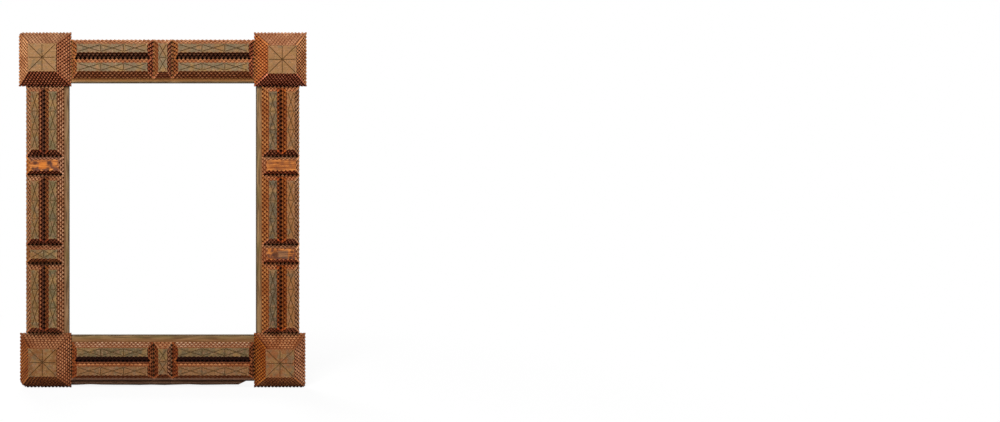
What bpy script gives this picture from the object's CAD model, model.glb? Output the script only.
# %% [markdown]
# # A notch-carved picture frame
#
# The frame is built of flat boards with stepped stacks of thin box wood glued on their front. Its
# shape is finished before this script starts: every board, layer and cap comes in as a separate
# mesh, in metres, where it belongs. The notches could also be painted on as relief, but a notch that
# is real catches the light from every side, so they were all cut as solids first. What is left to do
# here is the wood itself, with its grain, its old varnish and paint, the dirt in its notches and the
# wear on its points, and then light and camera.

# %% Load the frame
import math

import bpy
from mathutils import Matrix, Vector


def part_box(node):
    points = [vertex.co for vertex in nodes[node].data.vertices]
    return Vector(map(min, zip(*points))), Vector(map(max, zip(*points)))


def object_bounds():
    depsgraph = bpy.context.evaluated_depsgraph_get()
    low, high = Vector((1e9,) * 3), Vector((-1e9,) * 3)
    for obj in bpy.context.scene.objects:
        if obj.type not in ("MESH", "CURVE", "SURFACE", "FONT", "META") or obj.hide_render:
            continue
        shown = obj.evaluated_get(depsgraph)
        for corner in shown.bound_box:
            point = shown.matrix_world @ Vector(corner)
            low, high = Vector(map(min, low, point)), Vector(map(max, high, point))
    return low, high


def rounded(values, digits=4):
    """Numbers short enough to print."""
    return [round(v, digits) for v in values]


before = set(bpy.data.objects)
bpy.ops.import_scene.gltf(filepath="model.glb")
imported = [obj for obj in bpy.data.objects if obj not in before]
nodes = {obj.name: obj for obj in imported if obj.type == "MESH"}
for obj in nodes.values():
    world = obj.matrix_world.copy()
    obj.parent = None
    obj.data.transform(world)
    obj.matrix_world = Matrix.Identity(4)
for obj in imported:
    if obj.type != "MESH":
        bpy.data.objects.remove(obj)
cad_low, cad_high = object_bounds()
print(len(nodes), "pieces, from", rounded(cad_low), "to", rounded(cad_high))

# %% [markdown]
# ## Measures that the finishes need
#
# A finish that knows where it is on the frame can do what years of handling did: darken the edge of
# the opening, keep paint in the middle of a cap, and leave dust at the foot of each layer. The
# numbers could be typed in, but they are read from the pieces, so they follow the part if its sizes
# change.

# %% Measure the pieces
MM = 0.001


def middle_and_half(name):
    """The middle of a piece's box and half of its size, in metres."""
    low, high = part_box(name)
    return (low + high) / 2, (high - low) / 2


left_low, left_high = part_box("left_stile_board")
top_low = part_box("top_rail_board")[0]
bottom_low, bottom_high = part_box("bottom_rail_board")
sight_half_x = -left_high.x
sight_half_z = (top_low.z - bottom_high.z) / 2
sight_mid_z = (top_low.z + bottom_high.z) / 2
board_front = left_low.y
rib_cap_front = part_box("left_stile_upper_bay_caps")[0].y
star_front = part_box("top_left_corner_cap")[0].y
print("opening", rounded((2 * sight_half_x, 2 * sight_half_z)), "m")
print("fronts of boards, rib caps and stars", rounded((board_front, rib_cap_front, star_front)))

# %% [markdown]
# ## Shader maths as plain expressions
#
# A finish is a sum of masks: grain times wear plus dirt. Drawn as nodes by hand that is dozens of
# boxes, so one small class wraps a socket. Adding, subtracting or multiplying two of them adds the
# Math node that does it, and every other node comes from its one method `add`.


# %% The socket class
class Wire:
    """An output socket of a material, which takes part in Python arithmetic."""

    def __init__(self, tree, socket=None):
        self.tree = tree
        self.socket = socket

    def feed(self, entry, value):
        """Links another wire to an input socket, or sets the socket to a plain value."""
        if isinstance(value, Wire):
            self.tree.links.new(value.socket, entry)
        else:
            entry.default_value = value

    def add(self, kind, settings=None, inputs=None, out=0):
        """Adds a node: its type, its settings, which are set first, and what its inputs get."""
        node = self.tree.nodes.new(kind)
        for name, value in (settings or {}).items():
            setattr(node, name, value)
        for key, value in (inputs or {}).items():
            self.feed(node.inputs[key], value)
        return Wire(self.tree, node.outputs[out])

    def math(self, operation, *values):
        """A Math node on these values."""
        return self.add("ShaderNodeMath", {"operation": operation}, dict(enumerate(values)))

    def __add__(self, other):
        return self.math("ADD", self, other)

    def __sub__(self, other):
        return self.math("SUBTRACT", self, other)

    def __rsub__(self, other):
        return self.math("SUBTRACT", other, self)

    def __mul__(self, other):
        return self.math("MULTIPLY", self, other)

    def __truediv__(self, other):
        return self.math("DIVIDE", self, other)

    def __neg__(self):
        return self * -1.0

    def __abs__(self):
        return self.math("ABSOLUTE", self)

    __radd__ = __add__
    __rmul__ = __mul__


operators = [name for name, part in vars(Wire).items() if name.startswith("__") and callable(part)]
print("a socket has its own", operators)

# %% [markdown]
# ## Colours as they look on a screen
#
# A shader works with linear light, in which half as bright is half the number. A screen doesn't, so a
# colour picked by eye would come out too pale. `paint` takes a colour from 0 to 255, as any drawing
# program shows it, and turns it into the linear one.


# %% Screen colours
def paint(red, green, blue):
    """A screen colour, from 0 to 255, as a linear colour."""
    screen = [c / 255 for c in (red, green, blue)]
    linear = [c / 12.92 if c <= 0.04045 else ((c + 0.055) / 1.055) ** 2.4 for c in screen]
    return (*linear, 1.0)


print("a middle brown in linear light is", rounded(paint(130, 90, 60), 3))

# %% [markdown]
# ## Masks and noise
#
# A few helpers cover nearly all of what follows. `fade` is a soft step from 0 to 1, `blend` lays one
# colour over another by a mask, `tint` multiplies a colour as a thin stain does, `cloud` is noise of a
# given size in millimetres, `grain` is the same noise drawn out along the wood, and `waver` makes an
# edge ragged. An image of wood would do as well for one plank, but noise in space gives each of the
# many small pieces its own wood, with no seam.
#
# Most marks of age are alike: something is measured, and from one value of it to another a colour
# comes in. So a mark is written as four things, where it starts, where it is full, how strong it is
# and its colour, and `lay` puts it on. A wood of two tones is written in the same way, for `tones`.

# %% Helpers for masks and noise
NOISE_ROUGHNESS = 0.55
# Sockets of a Mix node that is set to colours
MIX_MASK, MIX_BELOW, MIX_ABOVE, MIX_RESULT = 0, 6, 7, 2
# Noise is measured in a space that is shorter along the wood, which draws it out
STRETCH = {"x": (0.07, 1.0, 1.0), "z": (1.0, 1.0, 0.07)}


def fade(value, start, end):
    """0 at the start and 1 at the end, smooth between them, whichever of them is larger."""
    if start > end:
        return 1 - fade(value, end, start)
    limits = {"From Min": start, "From Max": end, "Value": value}
    return value.add("ShaderNodeMapRange", {"interpolation_type": "SMOOTHSTEP"}, limits)


def blend(mask, below, above, how="MIX"):
    """The colour below where the mask is 0, and the colour above where it is 1."""
    settings = {"data_type": "RGBA", "blend_type": how}
    inputs = {MIX_MASK: mask, MIX_BELOW: below, MIX_ABOVE: above}
    return mask.add("ShaderNodeMix", settings, inputs, out=MIX_RESULT)


def tint(mask, colour, stain):
    """The colour multiplied by a stain where the mask is 1."""
    return blend(mask, colour, (*stain, 1), "MULTIPLY")


def lay(colour, value, mark, share=1.0):
    """A colour with a share of a mark on it, where the value is past the mark's start."""
    start, end, strength, above = mark
    return blend(fade(value, start, end) * (strength * share), colour, above)


def tones(value, pair):
    """Wood of two tones, from the one to the other by a value."""
    start, end, below, above = pair
    return blend(fade(value, start, end), below, above)


def cloud(point, size, detail=3.0):
    """Noise with lumps of about that size, in millimetres."""
    values = {"Scale": 1.0 / size, "Detail": detail, "Roughness": NOISE_ROUGHNESS}
    return point.add("ShaderNodeTexNoise", {"noise_dimensions": "3D"}, {"Vector": point, **values})


def grain(point, along, size):
    """Noise drawn out along the wood."""
    inputs = {0: point, 1: STRETCH[along]}
    return cloud(point.add("ShaderNodeVectorMath", {"operation": "MULTIPLY"}, inputs), size)


def waver(point, size, reach):
    """A length that strays by up to half of that reach to either side, in lumps of that size."""
    return (cloud(point, size) - 0.5) * reach


print("grain is drawn out", round(1 / min(STRETCH["x"])), "times along the wood")

# %% [markdown]
# ## What every finish starts from
#
# Each finish gets the point on the surface in millimetres, which way the surface looks, and how far it
# is from the opening. The flanks of the notches look sideways and the ledges between them look to the
# front, so one number tells a cut from a face. Two more values come from Ambient Occlusion: how hidden
# a place is, which is where dirt stays, and how much an edge stands out, which is where hands rub.

# %% The start of a finish
WOOD_SHEEN = 0.12
HIDDEN_SAMPLES = 8


def parts(vector):
    """The three numbers of a vector."""
    inputs = {"Vector": vector}
    return [vector.add("ShaderNodeSeparateXYZ", None, inputs, out=i) for i in range(3)]


class Ground:
    """The values that a finish is made from, in one new material."""

    def __init__(self, name, sheen=WOOD_SHEEN):
        self.material = bpy.data.materials.new(name)
        self.material.use_nodes = True
        tree = self.material.node_tree
        self.shader = tree.nodes["Principled BSDF"]
        self.shader.inputs["Specular IOR Level"].default_value = sheen
        self.wire = Wire(tree)
        place = self.wire.add("ShaderNodeTexCoord", out="Object")
        inputs = {0: place, "Scale": 1 / MM}
        self.point = place.add("ShaderNodeVectorMath", {"operation": "SCALE"}, inputs)
        self.x, self.y, self.z = parts(self.point)
        right, back, self.up = parts(self.wire.add("ShaderNodeNewGeometry", out="Normal"))
        self.facing = -back
        self.left = -right

    def from_opening(self):
        """Distance from the edge of the opening, in millimetres."""
        across = abs(self.x) - sight_half_x / MM
        up = abs(self.z - sight_mid_z / MM) - sight_half_z / MM
        return across.math("MAXIMUM", across, up)

    def crevice(self, reach, **settings):
        """How much of the view from the surface is blocked within that reach, in millimetres."""
        settings["samples"] = HIDDEN_SAMPLES
        inputs = {"Distance": reach * MM}
        return 1 - self.wire.add("ShaderNodeAmbientOcclusion", settings, inputs, out="AO")

    def worn_edge(self, reach):
        """The same, measured inside the wood: high along edges that stand out."""
        return self.crevice(reach, inside=True, only_local=True)

    def inside_plate(self, plate):
        """Distance in from the edge of a plate, or of the nearer of two, in millimetres."""
        across, along = (self.z, self.x) if plate["way"] == "x" else (self.x, self.z)
        offset = abs(abs(across - plate["across"] / MM) - plate["out"] / MM)
        side = plate["half_across"] / MM - offset
        end = plate["half_along"] / MM - abs(along - plate["along"] / MM)
        return side.math("MINIMUM", side, end)

    def finish(self, colour, height, depth, roughness):
        """Joins colour, roughness and a relief of that depth in millimetres to the shader."""
        relief = {"Height": height, "Strength": 1.0, "Distance": depth * MM}
        bump = height.add("ShaderNodeBump", None, relief)
        for entry, value in (("Base Color", colour), ("Normal", bump), ("Roughness", roughness)):
            self.wire.feed(self.shader.inputs[entry], value)
        return self.material


print("a finish starts from", [name for name in vars(Ground) if not name.startswith("_")])

# %% [markdown]
# ## Which way the wood runs
#
# A strip of wood is strong along its grain, so a maker cuts every piece with the grain along its
# length. The pieces are sorted by that here, from their names. Turning the whole texture for each
# piece would do the same, but two directions are all that this frame has.

# %% Sort the pieces
SIDES = ("top_rail", "bottom_rail", "left_stile", "right_stile")


def direction(name):
    """The way that the wood runs: along the stiles and posts, or across the frame."""
    upright = name.startswith(("left_stile", "right_stile", "left_rear", "right_rear"))
    return "z" if upright and "_bar_" not in name or "_post_" in name else "x"


def side_of(name):
    """The rail or stile that a piece is on."""
    return next(side for side in SIDES if name.startswith(side))


def dress(material, names):
    """Puts a finish on pieces, in place of what they have."""
    for name in names:
        nodes[name].data.materials.clear()
        nodes[name].data.materials.append(material)


corner_steps = [n for n in nodes if n.endswith("_corner_steps")]
bay_layers = [n for n in nodes if n.endswith(("_slab", "_ribs"))]
bars = [n for n in nodes if n.endswith("_bar_steps")]
bare_bars = [n for n in bars if n.replace("_steps", "_cap") not in nodes]
print(len(corner_steps), "corner blocks and", len(bay_layers), "bay layers")
print(len(bare_bars), "of", len(bars), "bars without a cap")

# %% [markdown]
# ## The carved layers
#
# The layers were notched with a pocket knife and varnished reddish brown. The knife left clean flanks
# that took the stain as orange, dust and old varnish settled deep in the notches, and the points
# between them are rubbed lighter. A photograph of such wood would fix the light of its day into it.
# Here each mark is laid on by its cause, in the order in which it happened: stain, wear, and dirt
# last.

# %% Carved wood
# How squarely a face looks to the front, from the flank of a notch to a ledge
FRONT_FACE = (0.75, 0.95)
FLANK = (0.35, 0.65, paint(146, 70, 30), paint(188, 114, 64))
LEDGE = (0.38, 0.62, paint(172, 114, 74), paint(208, 152, 108))
CRUMB = (0.6, 0.72, 0.45, paint(190, 146, 106))
RUBBED_POINT = (0.3, 0.6, 0.65, paint(214, 166, 122))
OLD_VARNISH = (0.5, 0.75, 0.35, paint(92, 46, 26))
LIT_FLANK = (0.2, 0.6, 0.75, paint(184, 92, 34))
DULL_SHELF = (0.15, 0.7, 0.55, paint(124, 78, 50))
NOTCH_STAIN = (0.1, 0.32, 0.7, paint(126, 56, 22))
VALLEY_DIRT = (0.3, 0.52, 0.6, paint(44, 18, 10))
NOTCH_DIRT = (0.3, 0.56, 0.88, paint(40, 15, 8))
CARVED_RELIEF = 0.25


def carved_colour(g, along, dirt=1.0):
    """The stained wood of the notched edges, with its rubbed points and a share of its dirt."""
    long_grain = grain(g.point, along, 1.6)
    patches = cloud(g.point, 23.0)
    crumbs = cloud(g.point, 1.1, 2.0)
    notch = g.crevice(3.0)
    colour = blend(fade(g.facing, *FRONT_FACE), tones(long_grain, FLANK), tones(patches, LEDGE))
    colour = lay(colour, crumbs, CRUMB)
    colour = lay(colour, g.worn_edge(0.7), RUBBED_POINT)
    colour = lay(colour, cloud(g.point, 7.0), OLD_VARNISH)
    colour = lay(colour, g.left, LIT_FLANK)
    colour = lay(colour, g.up, DULL_SHELF)
    colour = lay(colour, notch, NOTCH_STAIN)
    colour = lay(colour, g.crevice(16.0), VALLEY_DIRT, dirt)
    colour = lay(colour, notch, NOTCH_DIRT, dirt)
    height = long_grain + crumbs * 0.6
    roughness = 0.5 + patches * 0.25
    return colour, height, roughness


print("flanks, ledges and points of the notches, in relief of", CARVED_RELIEF, "mm")

# %% [markdown]
# ## The corner blocks
#
# Each block is a stepped pyramid, so its four slopes aged apart. The ones that look to the window side
# are faded or warm, the lower ones hold soot in their notches while their points are rubbed clean, and
# the foot of a block, where it was set down, is nearly black. One finish for each slope would cut the
# block apart at its edges. Instead, the distance to the diagonals of the block gives a mask for each
# slope, and a stain for the flanks and one for the points go on through it.

# %% Corner blocks
# Soft edges of a slope, a mitre and the foot, in shares of half a block
BLOCK_SLOPE = (-0.03, 0.05)
BLOCK_MITRE = (0.07, 0.02)
BLOCK_FOOT = (0.92, 0.98)
MITRE_STAIN = (0.62, 0.52, 0.46)
# For each slope a stain of the flanks and one of the points
CORNER_STAINS = {
    "top_left": {
        "upper": ((0.8, 0.82, 0.83), (0.82, 0.86, 0.88)),
        "left": ((0.56, 0.48, 0.36), (1.2, 1.18, 1.04)),
        "right": ((0.94, 0.76, 0.7), (0.94, 0.76, 0.7)),
        "lower": ((0.27, 0.13, 0.11), (1.05, 0.64, 0.58)),
        "foot": (0.7, 0.6, 0.6),
    },
    "top_right": {
        "upper": ((0.92, 0.9, 0.95), (0.93, 0.92, 0.97)),
        "left": ((0.92, 0.64, 0.32), (1.12, 0.77, 0.42)),
        "right": ((0.58, 0.5, 0.4), (1.2, 1.06, 0.9)),
        "lower": ((0.42, 0.21, 0.21), (1.55, 1.02, 1.12)),
        "foot": (0.7, 0.6, 0.6),
    },
    "bottom_left": {
        "upper": ((0.8, 0.74, 0.68), (0.85, 0.8, 0.76)),
        "left": ((0.2, 0.11, 0.05), (0.8, 0.54, 0.28)),
        "right": ((0.96, 0.8, 0.74), (0.96, 0.8, 0.74)),
        "lower": ((0.43, 0.26, 0.16), (0.7, 0.46, 0.28)),
        "foot": (0.4, 0.3, 0.3),
    },
    "bottom_right": {
        "upper": ((0.93, 0.82, 0.7), (0.97, 0.87, 0.76)),
        "left": ((0.66, 0.44, 0.13), (0.98, 0.68, 0.24)),
        "right": ((0.6, 0.52, 0.55), (1.1, 1.0, 1.04)),
        "lower": ((0.58, 0.4, 0.29), (1.2, 0.92, 0.68)),
        "foot": (0.4, 0.3, 0.3),
    },
}


def shade_slope(g, mask, colour, flanks, points):
    """A stain on the flanks of a slope's notches, and another on the points between them."""
    face = fade(g.facing, *FRONT_FACE)
    colour = tint(mask * (1 - face), colour, flanks)
    return tint(mask * face, colour, points)


def corner_finish(block, stains):
    """Carved wood with a stain of its own on each slope of a corner block."""
    g = Ground(block + "_finish")
    colour, height, roughness = carved_colour(g, direction(block))
    mid, half = middle_and_half(block)
    across = (g.x - mid.x / MM) / (half.x / MM)
    up = (g.z - mid.z / MM) / (half.z / MM)
    slopes = {
        "left": -across - abs(up),
        "right": across - abs(up),
        "lower": -up - abs(across),
        "upper": up - abs(across),
    }
    for slope, inside in slopes.items():
        colour = shade_slope(g, fade(inside, *BLOCK_SLOPE), colour, *stains[slope])
    colour = tint(fade(abs(abs(across) - abs(up)), *BLOCK_MITRE), colour, MITRE_STAIN)
    colour = tint(fade(-up, *BLOCK_FOOT), colour, stains["foot"])
    return g.finish(colour, height, CARVED_RELIEF, roughness)


for name in corner_steps:
    dress(corner_finish(name, CORNER_STAINS[name.replace("_corner_steps", "")]), [name])
print(len(corner_steps), "corner blocks")

# %% [markdown]
# ## Where the cap plates lie
#
# A bay carries two ribs, and each rib has a thin cap on it. Both the paint of a cap and the dirt beside
# it are measured from the edges of these plates. The edges could be read from the drawing, but the
# vertices of the mesh have them too: those nearest to the middle of the pair and those farthest from
# it.


# %% Measure the cap plates
def measure_plates(name, way):
    """Middle and half sizes of the one or two plates of a cap node, from its vertices."""
    places = [v.co for v in nodes[name].data.vertices]
    along = [p.x if way == "x" else p.z for p in places]
    across = [p.z if way == "x" else p.x for p in places]
    mid_across = (min(across) + max(across)) / 2
    near = min(abs(a - mid_across) for a in across)
    far = max(abs(a - mid_across) for a in across)
    twin = name.endswith("_caps")
    return {
        "way": way,
        "across": mid_across,
        "out": (near + far) / 2 if twin else 0.0,
        "half_across": (far - near) / 2 if twin else far,
        "along": (min(along) + max(along)) / 2,
        "half_along": (max(along) - min(along)) / 2,
    }


plates = {n: measure_plates(n, direction(n)) for n in nodes if n.endswith(("_cap", "_caps"))}
rail_cap_w = 2 * plates["top_rail_left_bay_caps"]["half_across"] / MM
print(len(plates), "cap nodes, a rail cap is", round(rail_cap_w, 1), "mm wide")

# %% [markdown]
# ## The slopes around a cap
#
# Stepped layers make a slope on each side of a cap. How far out a point lies on one of them is its
# distance past the edge of the cap, less its distance past the nearest end, so the slopes meet in
# mitres as on the wood. The blocks above could be treated like this too, but their stars sit off the
# middle.

# %% Slopes around a cap
# Soft edges of a slope, of the corners outside a cap and of a mitre, in millimetres
SLOPE_EDGE = (-0.4, 0.4)
CORNER_EDGE = (0.0, 0.6)
MITRE_EDGE = (1.3, 0.4)


def slopes_around(g, plate):
    """How far out a point is on each slope around one or two caps, in millimetres, and the mitres."""
    run, across = (g.x, g.z) if plate["way"] == "x" else (g.z, g.x)
    half_width = (plate["out"] + plate["half_across"]) / MM
    half_length = plate["half_along"] / MM
    aside = across - plate["across"] / MM
    along = run - plate["along"] / MM
    past_side = run.math("MAXIMUM", abs(aside) - half_width, 0.0)
    past_end = run.math("MAXIMUM", abs(along) - half_length, 0.0)
    sides = (-aside - half_width - past_end, aside - half_width - past_end)
    ends = (-along - half_length - past_side, along - half_length - past_side)
    level, upright = (ends, sides) if plate["way"] == "x" else (sides, ends)
    slopes = {"left": level[0], "right": level[1], "lower": upright[0], "upper": upright[1]}
    corner = fade(run.math("MINIMUM", past_side, past_end), *CORNER_EDGE)
    return slopes, corner * fade(abs(past_side - past_end), *MITRE_EDGE)


def shade_slopes(g, colour, slopes, mitre, stains):
    """Lays on the stains of those slopes around a cap that have any."""
    for slope, inside in slopes.items():
        if slope in stains:
            colour = shade_slope(g, fade(inside, *SLOPE_EDGE), colour, *stains[slope])
    return tint(mitre, colour, MITRE_STAIN)


print("slopes are stained apart on", len(plates), "stacks")

# %% [markdown]
# ## The valleys between the ribs
#
# The valley between two ribs is where a duster never reaches. On the rails the wall that looks down is
# black with it, and on the bottom rail the dirt fills the foot of both walls. On the stiles it lies on
# the wall that looks away from the light. Ambient Occlusion alone would darken both walls alike, so
# each of these places is a mask from a distance, here from the middle of the valley.

# %% Valleys
GRIME = paint(34, 13, 8)
# The darkest line of a stile's valley, in millimetres right of its middle, and half of its width
CORE_AT = -1.3
CORE_HALF = 1.9
# Soft edges of a valley's sides and ends, and of its foot and that line, in millimetres
VALLEY_SIDE = (0.6, -0.5)
VALLEY_END = (2.5, 0.5)
FOOT_BLUR = 0.6
CORE_BLUR = 0.8
# Stains of the clean wall, and of the flanks and points of the dusty one, how black the dirt on it is,
# where it starts, in millimetres from the middle, and how black the line is
VALLEYS = {
    "top_rail": {
        "clean": (0.9, 0.74, 0.58),
        "dusty": ((0.2, 0.15, 0.15), (1.0, 0.75, 0.7)),
        "grime": 0.7,
        "foot": -0.2,
    },
    "bottom_rail": {
        "clean": (1.0, 0.84, 0.68),
        "dusty": ((0.7, 0.32, 0.26), (0.9, 0.42, 0.34)),
        "grime": 0.92,
        "foot": -2.4,
    },
    "left_stile": {
        "clean": (0.37, 0.23, 0.1),
        "dusty": ((0.3, 0.17, 0.12), (0.85, 0.57, 0.45)),
        "grime": 0.3,
        "foot": -0.2,
        "core": 0.75,
    },
    "right_stile": {
        "clean": (0.62, 0.36, 0.12),
        "dusty": ((0.4, 0.17, 0.07), (1.0, 0.5, 0.22)),
        "grime": 0.3,
        "foot": -0.2,
        "core": 0.62,
    },
}


def valley_dirt(g, colour, plate, valley):
    """Old dirt in the valley between the two ribs of a bay."""
    level = plate["way"] == "x"
    half_valley = (plate["out"] - plate["half_across"]) / MM
    aside = (g.z if level else g.x) - plate["across"] / MM
    inside = fade(abs(aside) - half_valley, *VALLEY_SIDE)
    if level:
        past_end = abs(g.x - plate["along"] / MM) - plate["half_along"] / MM
        inside = inside * fade(past_end, *VALLEY_END)
    foot = valley["foot"]
    dusty = fade(aside if level else -aside, foot - FOOT_BLUR, foot + FOOT_BLUR)
    colour = tint(inside * (1 - dusty), colour, valley["clean"])
    colour = shade_slope(g, inside * dusty, colour, *valley["dusty"])
    colour = blend(inside * dusty * valley["grime"], colour, GRIME)
    if "core" in valley:
        core = fade(abs(aside - CORE_AT), CORE_HALF + CORE_BLUR, CORE_HALF - CORE_BLUR)
        colour = blend(inside * core * valley["core"], colour, GRIME)
    return colour


print("valleys of", len(VALLEYS), "sides")

# %% [markdown]
# ## The ribs
#
# The slopes of each rail and stile have their own look, from hands, sun and smoke. One finish could do
# for all ribs if the frame were new. Here each bay gets its own, with the stains of its side and the
# dirt of its valley.

# %% Ribs
# For each slope a stain of the flanks and one of the points
RIB_STAINS = {
    "top_rail": {
        "upper": ((0.85, 0.82, 0.77), (0.88, 0.85, 0.8)),
        "left": ((0.64, 0.46, 0.23), (0.73, 0.52, 0.27)),
        "right": ((0.58, 0.32, 0.27), (0.78, 0.45, 0.38)),
        "lower": ((0.76, 0.64, 0.56), (1.18, 0.96, 0.88)),
    },
    "bottom_rail": {
        "upper": ((0.88, 0.94, 1.04), (1.4, 1.95, 2.6)),
        "left": ((0.45, 0.24, 0.11), (0.58, 0.31, 0.15)),
        "right": ((0.46, 0.29, 0.19), (0.64, 0.4, 0.28)),
        "lower": ((0.55, 0.36, 0.26), (0.72, 0.46, 0.3)),
    },
    "left_stile": {
        "left": ((0.15, 0.13, 0.11), (0.82, 0.83, 0.78)),
        "right": ((1.3, 1.35, 1.4), (0.97, 1.05, 1.17)),
        "lower": ((0.43, 0.26, 0.26), (0.95, 0.62, 0.6)),
    },
    "right_stile": {
        "upper": ((1.12, 0.94, 0.78), (1.15, 0.97, 0.82)),
        "left": ((0.8, 0.67, 0.39), (0.9, 0.76, 0.46)),
        "right": ((0.55, 0.58, 0.62), (1.05, 1.14, 1.22)),
        "lower": ((0.53, 0.33, 0.34), (1.15, 0.78, 0.77)),
    },
}


def rib_finish(name, plate, stains, valley):
    """Carved wood with stained slopes, and the dirt of a valley if it has one."""
    g = Ground(name)
    colour, height, roughness = carved_colour(g, plate["way"])
    colour = shade_slopes(g, colour, *slopes_around(g, plate), stains)
    if valley is not None:
        colour = valley_dirt(g, colour, plate, valley)
    return g.finish(colour, height, CARVED_RELIEF, roughness)


for name in bay_layers:
    side = side_of(name)
    plate = plates[name.rsplit("_", 1)[0] + "_caps"]
    dirty = name.endswith("_ribs") or side == "bottom_rail"
    valley = VALLEYS[side] if dirty else None
    dress(rib_finish(name + "_finish", plate, RIB_STAINS[side], valley), [name])
print(len(bay_layers), "ribs and slabs")

# %% [markdown]
# ## Posts and the bar that kept its cap
#
# The posts and bars are small stacks of their own, and light and dirt marked them like the ribs beside
# them. They could share the finish of the ribs, but they are seen to differ: the left slope of the top
# post was brushed clean, and that of the bottom post is dark.

# %% Posts and the capped bar
# For each slope a stain of the flanks and one of the points
TIE_STAINS = {
    "top_rail_post": {
        "left": ((0.76, 0.6, 0.35), (0.62, 0.5, 0.29)),
        "right": ((0.9, 0.66, 0.64), (0.96, 0.74, 0.72)),
        "lower": ((0.7, 0.52, 0.5), (1.05, 0.8, 0.8)),
    },
    "bottom_rail_post": {
        "left": ((0.5, 0.28, 0.14), (0.58, 0.34, 0.18)),
        "right": ((1.1, 1.15, 1.3), (1.25, 1.35, 1.6)),
        "lower": ((0.6, 0.4, 0.3), (0.8, 0.52, 0.36)),
    },
    "left_stile_lower_bar": {
        "left": ((0.26, 0.22, 0.14), (0.63, 0.55, 0.35)),
        "right": ((0.95, 1.05, 1.2), (1.06, 1.17, 1.4)),
        "lower": ((0.4, 0.23, 0.2), (1.35, 0.95, 0.72)),
    },
}
# Share of the dirt that was brushed out of the left slope
BRUSHED_LEFT = {"top_rail_post": 0.8, "bottom_rail_post": 0.0, "left_stile_lower_bar": 0.0}


def tie_finish(name, plate, stains, brushed):
    """The stained slopes of a post or bar, with a share of the dirt brushed out of the left one."""
    g = Ground(name)
    slopes, mitre = slopes_around(g, plate)
    dirt = 1 - fade(slopes["left"], *SLOPE_EDGE) * brushed
    colour, height, roughness = carved_colour(g, plate["way"], dirt)
    colour = shade_slopes(g, colour, slopes, mitre, stains)
    return g.finish(colour, height, CARVED_RELIEF, roughness)


for tie, stains in TIE_STAINS.items():
    name = tie + "_steps"
    plate = plates[tie + "_cap"]
    dress(tie_finish(name + "_finish", plate, stains, BRUSHED_LEFT[tie]), [name])
print(len(TIE_STAINS), "posts and bars with their caps on")

# %% [markdown]
# ## The painted caps
#
# The rib caps carry a dull bronze-green paint that has worn to gold and brown, most of all on the outer
# ribs, where hands hold the frame. The paint stops short of the points, which are bare stained wood
# like the layers below. The stars on the corner blocks are tan, lighter at the top than at the bottom.
# The X lattice and the rays are real cuts, so depth below the front is enough to fill them with brown
# dirt.

# %% Painted caps
# How much more the paint is worn on the outer ribs
OUTER_WEAR = {"top_rail": 0.35, "bottom_rail": 0.8, "left_stile": 0.5, "right_stile": 0.9}
GREEN = {
    "top_rail": paint(122, 104, 77),
    "bottom_rail": paint(106, 87, 58),
    "left_stile": paint(107, 92, 60),
    "right_stile": paint(96, 81, 62),
}
GOLD = paint(150, 114, 68)
WORN_BROWN = {
    "top_rail": paint(138, 95, 58),
    "bottom_rail": paint(138, 95, 58),
    "left_stile": paint(139, 94, 48),
    "right_stile": paint(154, 102, 58),
}
STAR_TAN = {
    "top_left": paint(153, 112, 71),
    "top_right": paint(160, 113, 71),
    "bottom_left": paint(128, 81, 42),
    "bottom_right": paint(146, 89, 51),
}
STAR_WEAR = 0.2
STAR_GOLD = paint(150, 110, 66)
STAR_BROWN = paint(140, 97, 58)
PINK_BLOOM = (0.5, 0.66, 0.45, paint(160, 114, 88))
GREY_BLOOM = (0.5, 0.34, 0.5, paint(102, 94, 74))
PAINT_STREAK = (0.5, 0.74, 0.4, paint(86, 68, 44))
BRIGHT_SPECK = (0.58, 0.7, 0.45, paint(204, 172, 132))
DARK_SPECK = (0.42, 0.3, 0.5, paint(84, 64, 44))
# This one goes by the depth of a cut, in millimetres
KNIFE_LINE = (0.03, 0.25, 0.85, paint(88, 62, 32))
# Where the patches of paint turn to gold, and where its wear turns them to brown
TO_GOLD = (0.42, 0.66)
TO_BROWN = (0.45, 0.95)
# Millimetres from the opening to the outer ribs, and in from the edge of a plate to its paint
OUTER_RIBS = (30.0, 42.0)
PAINT_EDGE = (-0.4, 0.5)
# How squarely a cut or a painted face looks to the front
CUT_FACE = (0.4, 0.55)
PAINT_FACE = (0.35, 0.55)
CAP_RELIEF = 0.2


def cap_finish(name, along, plate, front_y, outer_wear, coat, gold, brown):
    """Worn paint on a cap, bare stained wood on its points, and dirt in its knife lines."""
    g = Ground(name)
    carved = carved_colour(g, along)[0]
    streak = grain(g.point, along, 1.3)
    patches = cloud(g.point, 14.0)
    speck = cloud(g.point, 1.5, 2.0)
    worn = patches * 0.5 + fade(g.from_opening(), *OUTER_RIBS) * outer_wear
    colour = blend(fade(patches, *TO_GOLD), coat, gold)
    colour = blend(fade(worn, *TO_BROWN), colour, brown)
    colour = lay(colour, cloud(g.point, 5.0), PINK_BLOOM)
    colour = lay(colour, cloud(g.point, 9.0), GREY_BLOOM)
    colour = lay(colour, streak, PAINT_STREAK)
    colour = lay(colour, speck, BRIGHT_SPECK)
    colour = lay(colour, speck, DARK_SPECK)
    colour = lay(colour, g.y - front_y / MM, KNIFE_LINE, fade(g.facing, *CUT_FACE))
    ragged = g.inside_plate(plate) + waver(g.point, 2.5, 1.6)
    painted = fade(ragged, *PAINT_EDGE) * fade(g.facing, *PAINT_FACE)
    height = streak + speck * 0.5
    roughness = 0.45 + patches * 0.3
    return g.finish(blend(painted, carved, colour), height, CAP_RELIEF, roughness)


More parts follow.
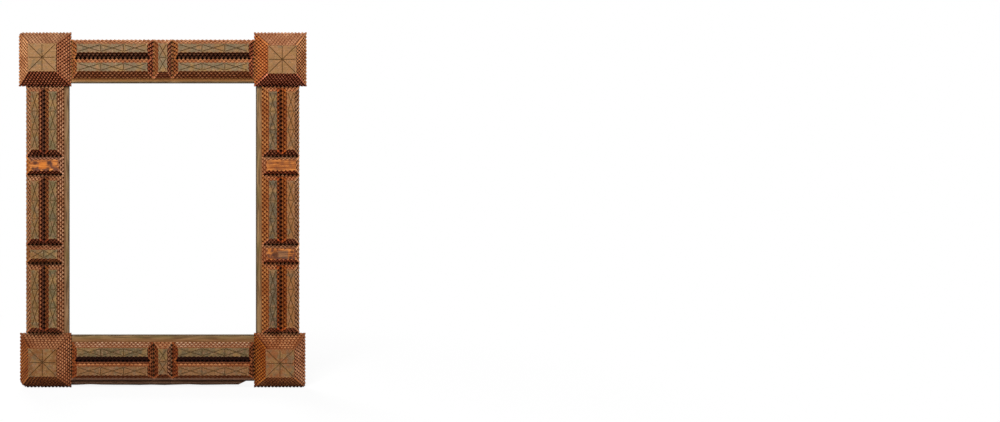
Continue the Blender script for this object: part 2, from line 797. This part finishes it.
for name, plate in plates.items():
    if name.endswith("_corner_cap"):
        tan = STAR_TAN[name.replace("_corner_cap", "")]
        coats = (star_front, STAR_WEAR, tan, STAR_GOLD, STAR_BROWN)
    else:
        side = side_of(name)
        coats = (rib_cap_front, OUTER_WEAR[side], GREEN[side], GOLD, WORN_BROWN[side])
    dress(cap_finish(name + "_finish", direction(name), plate, *coats), [name])
print(len(plates), "painted cap nodes")

# %% [markdown]
# ## The plain boards
#
# The boards show only as margins beside the carving. Along the opening they are olive, darkened at the
# very edge by fingers that changed the picture. Under the top ribs the wood was kept from that and
# stayed light, and the lower edge of the bottom board is rubbed pale above the dark joint with the
# strip behind it. All of that is one distance or another from an edge, so the boards need no texture
# map.

# %% Boards
BOARD_WOOD = (0.34, 0.66, paint(98, 73, 46), paint(162, 128, 88))
LEFT_BOARD_WOOD = (0.34, 0.66, paint(90, 67, 45), paint(148, 116, 84))
BOARD_OLIVE = (0.4, 0.7, 0.5, paint(124, 108, 62))
BOARD_DIRT = (0.4, 0.8, 0.5, paint(48, 28, 18))
# These go by millimetres from the opening
HANDLED_EDGE = (1.8, 0.2, 0.75, paint(58, 46, 30))
BOARD_BROWN = (3.5, 8.0, 0.5, paint(140, 86, 48))
KEPT_LIGHT = (1.2, 5.0, 1.0, paint(222, 152, 88))
# And these by millimetres above the foot of the bottom board
RUBBED_EDGE = (5.6, 4.4, 0.9, paint(210, 156, 126))
JOINT_DIRT = (2.1, 1.4, 0.92, paint(36, 14, 8))
BOARD_RELIEF = 0.25


def board_finish(name, along, kind):
    """The plain boards, olive at the opening and browner under the ribs."""
    g = Ground(name)
    long_grain = grain(g.point, along, 2.2)
    patches = cloud(g.point, 30.0)
    edge = g.from_opening()
    colour = tones(long_grain, LEFT_BOARD_WOOD if kind == "left" else BOARD_WOOD)
    colour = lay(colour, patches, BOARD_OLIVE)
    colour = lay(colour, edge, HANDLED_EDGE)
    colour = lay(colour, edge, BOARD_BROWN)
    colour = lay(colour, g.crevice(5.0), BOARD_DIRT)
    if kind == "top":
        colour = lay(colour, edge, KEPT_LIGHT)
    if kind == "bottom":
        above_foot = g.z - bottom_low.z / MM
        colour = lay(colour, above_foot + waver(g.point, 12.0, 1.2), RUBBED_EDGE)
        colour = lay(colour, above_foot, JOINT_DIRT)
    height = long_grain + cloud(g.point, 1.0) * 0.4
    roughness = 0.5 + patches * 0.3
    return g.finish(colour, height, BOARD_RELIEF, roughness)


for side in SIDES:
    board = side + "_board"
    kind = side.split("_")[0]
    dress(board_finish("board_" + kind, direction(board), kind), [board])
print(len(SIDES), "boards")

# %% [markdown]
# ## Raw wood and old glue
#
# Three bars have lost the cap that was glued on them. What shows is raw orange wood that never saw
# varnish, with dark spots of old glue. On one bar a patch of it is freshly torn, and on another a scrap
# of the cap's own wood is left. The marks could be noise alone, but the eye finds these few places, so
# they are set one by one.

# %% Raw wood
RAW_WOOD = (0.35, 0.68, paint(140, 74, 34), paint(224, 141, 70))
TORN_WOOD = (0.35, 0.65, paint(186, 100, 36), paint(228, 138, 54))
CAP_SCRAP = (0.35, 0.65, paint(98, 72, 56), paint(150, 108, 76))
GLUE_FILM = (0.46, 0.6, 1.0, paint(104, 62, 46))
# This one goes by the distance from the middle of a spot, in shares of its radius
GLUE_SPOT = (1.0, 0.4, 0.8, paint(74, 42, 30))
# Start, end and strength of a patch, by millimetres in from its edge
PATCH = (0.0, 1.6, 0.8)
# The share of the glue that is left and, in millimetres from the middle of the bar, its spots as
# (right, up, radius) and a patch of torn wood or a scrap of the cap as (right, up, half width, half
# height)
GLUE_MARKS = {
    "left_stile_upper_bar_steps": {
        "film": 1.0,
        "spots": [(-14.0, 3.4, 4.2), (7.8, 3.4, 4.2), (6.4, -6.0, 3.2), (-17.4, -5.2, 3.2)],
        "torn": (-2.4, -0.5, 6.4, 6.0),
    },
    "right_stile_upper_bar_steps": {
        "film": 0.4,
        "spots": [(11.5, 3.6, 3.0), (-6.0, 3.6, 2.6), (-7.0, -6.0, 2.2)],
    },
    "right_stile_lower_bar_steps": {
        "film": 1.0,
        "spots": [(-9.3, -1.0, 6.8), (16.0, 3.3, 3.4), (14.1, -5.4, 3.6)],
        "scrap": (2.4, -0.5, 8.6, 6.6),
    },
}


def raw_colour(g, plate, long_grain, marks):
    """Raw wood with its film and spots of glue, and a torn patch or a scrap of the cap."""
    right = g.x - plate["along"] / MM
    up = g.z - plate["across"] / MM
    raw = tones(long_grain, RAW_WOOD)
    raw = lay(raw, cloud(g.point, 9.0), GLUE_FILM, marks["film"])
    for kind, wood in (("torn", TORN_WOOD), ("scrap", CAP_SCRAP)):
        if kind in marks:
            mid_x, mid_z, half_x, half_z = marks[kind]
            inside = right.math("MINIMUM", half_x - abs(right - mid_x), half_z - abs(up - mid_z))
            ragged = inside + waver(g.point, 3.0, 3.0)
            raw = lay(raw, ragged, (*PATCH, tones(long_grain, wood)))
    for spot_x, spot_z, radius in marks["spots"]:
        aside = right - spot_x
        above = up - spot_z
        near = right.math("SQRT", aside * aside + above * above)
        raw = lay(raw, near / radius, GLUE_SPOT, marks["film"])
    return raw


spots = [len(marks["spots"]) for marks in GLUE_MARKS.values()]
print("spots of glue on the bars:", spots)

# %% [markdown]
# ## Bars that lost their caps
#
# The raw wood reaches a little beyond the outline of the lost cap. That outline could be typed in, but
# the bar that kept its cap gives its size. Around it a bar is stained like its neighbours.

# %% Bars without a cap
# Soft edges of the bare wood, by millimetres in from the edge of the lost cap and below its front
BARE_EDGE = (-2.2, -1.2)
BARE_DEPTH = (5.0, 4.4)
# For each slope a stain of the flanks and one of the points
BAR_STAINS = {
    "left_stile": {
        "upper": ((0.82, 0.76, 0.86), (0.86, 0.82, 0.94)),
        "left": ((0.58, 0.42, 0.2), (1.04, 0.81, 0.37)),
        "right": ((1.1, 1.2, 1.4), (1.16, 1.28, 1.55)),
        "lower": ((0.4, 0.22, 0.22), (1.05, 0.62, 0.58)),
    },
    "right_stile": {
        "left": ((0.78, 0.66, 0.58), (0.9, 0.79, 0.72)),
        "right": ((1.0, 1.05, 1.1), (1.4, 1.45, 1.5)),
        "lower": ((0.5, 0.27, 0.26), (1.85, 1.05, 0.92)),
    },
}
bar_cap_half = middle_and_half("left_stile_lower_bar_cap")[1]


def lost_cap(name):
    """The outline of the cap that a bar has lost, in the middle of the bar."""
    mid = middle_and_half(name)[0]
    return {
        "way": "x",
        "across": mid.z,
        "out": 0.0,
        "half_across": bar_cap_half.z,
        "along": mid.x,
        "half_along": bar_cap_half.x,
    }


def bare_finish(name, plate, stains, marks):
    """A bar that has lost its cap: raw wood where the cap was, and stained wood around it."""
    g = Ground(name)
    long_grain = grain(g.point, plate["way"], 1.8)
    raw = raw_colour(g, plate, long_grain, marks)
    carved, _, roughness = carved_colour(g, plate["way"])
    carved = shade_slopes(g, carved, *slopes_around(g, plate), stains)
    ragged = g.inside_plate(plate) + waver(g.point, 3.0, 2.0)
    top = fade(g.y - rib_cap_front / MM, *BARE_DEPTH)
    bare = fade(ragged, *BARE_EDGE) * top * fade(g.facing, *FRONT_FACE)
    return g.finish(blend(bare, carved, raw), long_grain, CARVED_RELIEF, roughness)


for name in bare_bars:
    stains = BAR_STAINS[side_of(name)]
    dress(bare_finish(name + "_finish", lost_cap(name), stains, GLUE_MARKS[name]), [name])
print(len(bare_bars), "bars without a cap")

# %% [markdown]
# ## The rear strips
#
# Four plain strips behind the boards hold the picture. Nobody varnished them, so they are dry brown
# wood. Only the lip of the bottom one shows from the front, rubbed pale along its face and black along
# its worn edge. That wear could be painted on by hand, but it follows the edge of the lip, so the
# height above that edge is enough.

# %% Rear strips
STRIP_WOOD = (0.3, 0.7, paint(116, 80, 58), paint(158, 114, 84))
STRIP_PATCH = (0.45, 0.75, 0.5, paint(104, 74, 56))
# These go by millimetres above the edge of the lip
LIP_FACE = (4.4, 3.7, 0.9, paint(222, 170, 138))
LIP_EDGE = (2.7, 1.9, 0.9, paint(48, 26, 16))
# How squarely the lip looks to the front
LIP_FRONT = (0.5, 0.9)
STRIP_RELIEF = 0.3
STRIP_ROUGHNESS = 0.75
lip_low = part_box("bottom_rear_strip")[0].z


def strip_finish(name, along):
    """Dry wood, with the wear on the lip that hangs below the bottom board."""
    g = Ground(name)
    long_grain = grain(g.point, along, 2.6)
    above_lip = g.z - lip_low / MM + waver(g.point, 9.0, 0.8)
    colour = tones(long_grain, STRIP_WOOD)
    colour = lay(colour, cloud(g.point, 40.0), STRIP_PATCH)
    colour = lay(colour, above_lip, LIP_FACE, fade(g.facing, *LIP_FRONT))
    colour = lay(colour, above_lip, LIP_EDGE)
    return g.finish(colour, long_grain, STRIP_RELIEF, STRIP_ROUGHNESS)


for way in STRETCH:
    names = [n for n in nodes if n.endswith("_rear_strip") and direction(n) == way]
    dress(strip_finish("strip_" + way, way), names)
    print("strip_" + way, "on", names)

# %% [markdown]
# ## The nails
#
# The strips are nailed to the boards from behind. The iron is dark, with rust in small spots. It is
# rough and hardly shines, so a plain dark colour does, without the mirror of a metal shader.

# %% Nails
IRON_AND_RUST = (0.4, 0.65, paint(70, 66, 64), paint(110, 62, 36))
IRON_SHEEN = 0.5
NAIL_RELIEF = 0.1


def nail_finish(name):
    """Dark iron with spots of rust."""
    g = Ground(name, IRON_SHEEN)
    rust = cloud(g.point, 0.9)
    roughness = 0.4 + rust * 0.4
    return g.finish(tones(rust, IRON_AND_RUST), rust, NAIL_RELIEF, roughness)


dress(nail_finish("nails"), ["strip_nails"])
dressed = [n for n in nodes if nodes[n].data.materials]
print(len(dressed), "of", len(nodes), "pieces have a finish")

# %% [markdown]
# ## The floor
#
# The frame stands on a pale floor, which has to look white without throwing light on the wood. A white
# floor would brighten every slope that looks down, so rays of light meet a plain grey one. Rays that
# come from the camera meet one that glows white by nearly all, with a little chalk in it near the
# frame. The chalk is what shows the shadow, and it fades out with distance, so that no horizon is seen.

# %% Floor
FLOOR_SIZE = 14.0
FLOOR_GREY = paint(164, 164, 162)
FLOOR_ROUGHNESS = 0.9
WHITE = (1, 1, 1, 1)
CHALK = (0.95, 0.95, 0.95, 1)
GLOW_SHARE = 0.9
# Metres from the middle of the floor over which the chalk fades out
CHALK_ENDS = (0.25, 0.9)


def seen_directly(wire):
    """1 for rays from the camera, also by a mirror or glass, and 0 for light on its way to things."""
    kinds = ("Is Camera Ray", "Is Glossy Ray", "Is Transmission Ray")
    camera, glossy, clear = [wire.add("ShaderNodeLightPath", out=kind) for kind in kinds]
    return camera.math("MAXIMUM", camera, glossy.math("MAXIMUM", glossy, clear))


bpy.ops.object.select_all(action="DESELECT")
bpy.ops.mesh.primitive_plane_add(size=FLOOR_SIZE, location=(0, 0, cad_low.z))
floor = bpy.context.object
floor.name = "floor"
floor_material = bpy.data.materials.new("pale_floor")
floor_material.use_nodes = True
floor_tree = floor_material.node_tree
floor_shader = floor_tree.nodes["Principled BSDF"]
floor_shader.inputs["Base Color"].default_value = FLOOR_GREY
floor_shader.inputs["Roughness"].default_value = FLOOR_ROUGHNESS
plain = Wire(floor_tree, floor_shader.outputs[0])
glow = plain.add("ShaderNodeEmission", None, {"Color": WHITE, "Strength": 1.0})
chalk = plain.add("ShaderNodeBsdfDiffuse", None, {"Color": CHALK})
place = plain.add("ShaderNodeTexCoord", out="Object")
distance = place.add("ShaderNodeVectorMath", {"operation": "LENGTH"}, {0: place}, out="Value")
share = fade(distance, *CHALK_ENDS) * (1 - GLOW_SHARE) + GLOW_SHARE
pale = plain.add("ShaderNodeMixShader", None, {0: share, 1: chalk, 2: glow})
mixed = plain.add("ShaderNodeMixShader", None, {0: seen_directly(plain), 1: plain, 2: pale})
plain.feed(floor_tree.nodes["Material Output"].inputs["Surface"], mixed)
floor.data.materials.append(floor_material)
print("floor at", round(cad_low.z, 4), "m,", FLOOR_SIZE, "m wide")

# %% [markdown]
# ## The room around it
#
# Behind the frame is plain white, but light from a white room on all sides would fill every notch and
# take the depth out of the carving. So the world is white where the camera sees it and gives only a
# faint light of its own. The Standard view shows colours about as they are written.

# %% World
FAINT = 0.06

scene = bpy.context.scene
scene.view_settings.view_transform = "Standard"
world = bpy.data.worlds.new("studio")
world.use_nodes = True
scene.world = world
room = Wire(world.node_tree)
white = room.add("ShaderNodeBackground", None, {"Color": WHITE, "Strength": 1.0})
soft = room.add("ShaderNodeBackground", None, {"Color": WHITE, "Strength": FAINT})
both = room.add("ShaderNodeMixShader", None, {0: seen_directly(room), 1: soft, 2: white})
room.feed(world.node_tree.nodes["World Output"].inputs["Surface"], both)
print("world light", FAINT)

# %% [markdown]
# ## The lamps
#
# The picture is lit by one soft lamp high in front and a little to the left: upper slopes are bright,
# lower ones dark, and the left walls of the valleys throw short shadows. A sun lamp would make those
# shadows hard, so a square lamp of about a metre is used. A second one behind lights the back for a
# viewer who walks round.

# %% Lamps
# Size and distance in metres, degrees up and to the left of the front, and brightness
LAMPS = {
    "key": {"size": 0.9, "distance": 2.4, "up": 43, "left": 16, "level": 1.2},
    "rear": {"size": 1.2, "distance": 2.4, "up": 35, "left": 165, "level": 0.7},
}


def lamp(name, size, distance, up, left, level):
    """A soft square lamp that gives a surface turned to it its own colour, times the level."""
    light = bpy.data.lights.new(name, "AREA")
    light.shape = "SQUARE"
    light.size = size
    light.energy = level * (math.pi * distance) ** 2
    up, left = math.radians(up), math.radians(left)
    level_part = Vector((-math.sin(left), -math.cos(left), 0)) * math.cos(up)
    towards = level_part + Vector((0, 0, math.sin(up)))
    holder = bpy.data.objects.new(name, light)
    scene.collection.objects.link(holder)
    holder.location = Vector((0, board_front, sight_mid_z)) + towards * distance
    holder.rotation_euler = (-towards).to_track_quat("-Z", "Y").to_euler()
    print(name, "lamp at", rounded(holder.location, 2))


for name, settings in LAMPS.items():
    lamp(name, **settings)

# %% [markdown]
# ## The camera
#
# The photograph was taken straight on, with the frame left of the middle of the picture. Turning the
# camera would make the upright edges lean together, so it stays square to the frame, and its lens is
# shifted instead. The distance is what moves the caps outwards over their blocks as much as in the
# photograph.

# %% Camera
PICTURE_W = 1000
PICTURE_H = 422
# Where the middle of the opening is in the picture, in pixels from its upper left corner
OPENING_PX = (162.75, 208.9)
SENSOR_MM = 36.0
LENS_MM = 30.0
CAMERA_DISTANCE = 1.3

camera_data = bpy.data.cameras.new("camera")
camera_data.sensor_width = SENSOR_MM
camera_data.lens = LENS_MM
camera_data.shift_x = (PICTURE_W / 2 - OPENING_PX[0]) / PICTURE_W
camera_data.shift_y = (OPENING_PX[1] - PICTURE_H / 2) / PICTURE_W
camera = bpy.data.objects.new("camera", camera_data)
scene.collection.objects.link(camera)
camera.location = (0, board_front - CAMERA_DISTANCE, sight_mid_z)
camera.rotation_euler = (math.radians(90), 0, 0)
scene.camera = camera
print("camera at", rounded(camera.location, 3), "shift", round(camera_data.shift_x, 4))

# %% [markdown]
# ## Sizes and the end
#
# Nothing was added to the frame, so its box has to be the one that it came with. Both boxes are written
# down for whoever checks the part later.
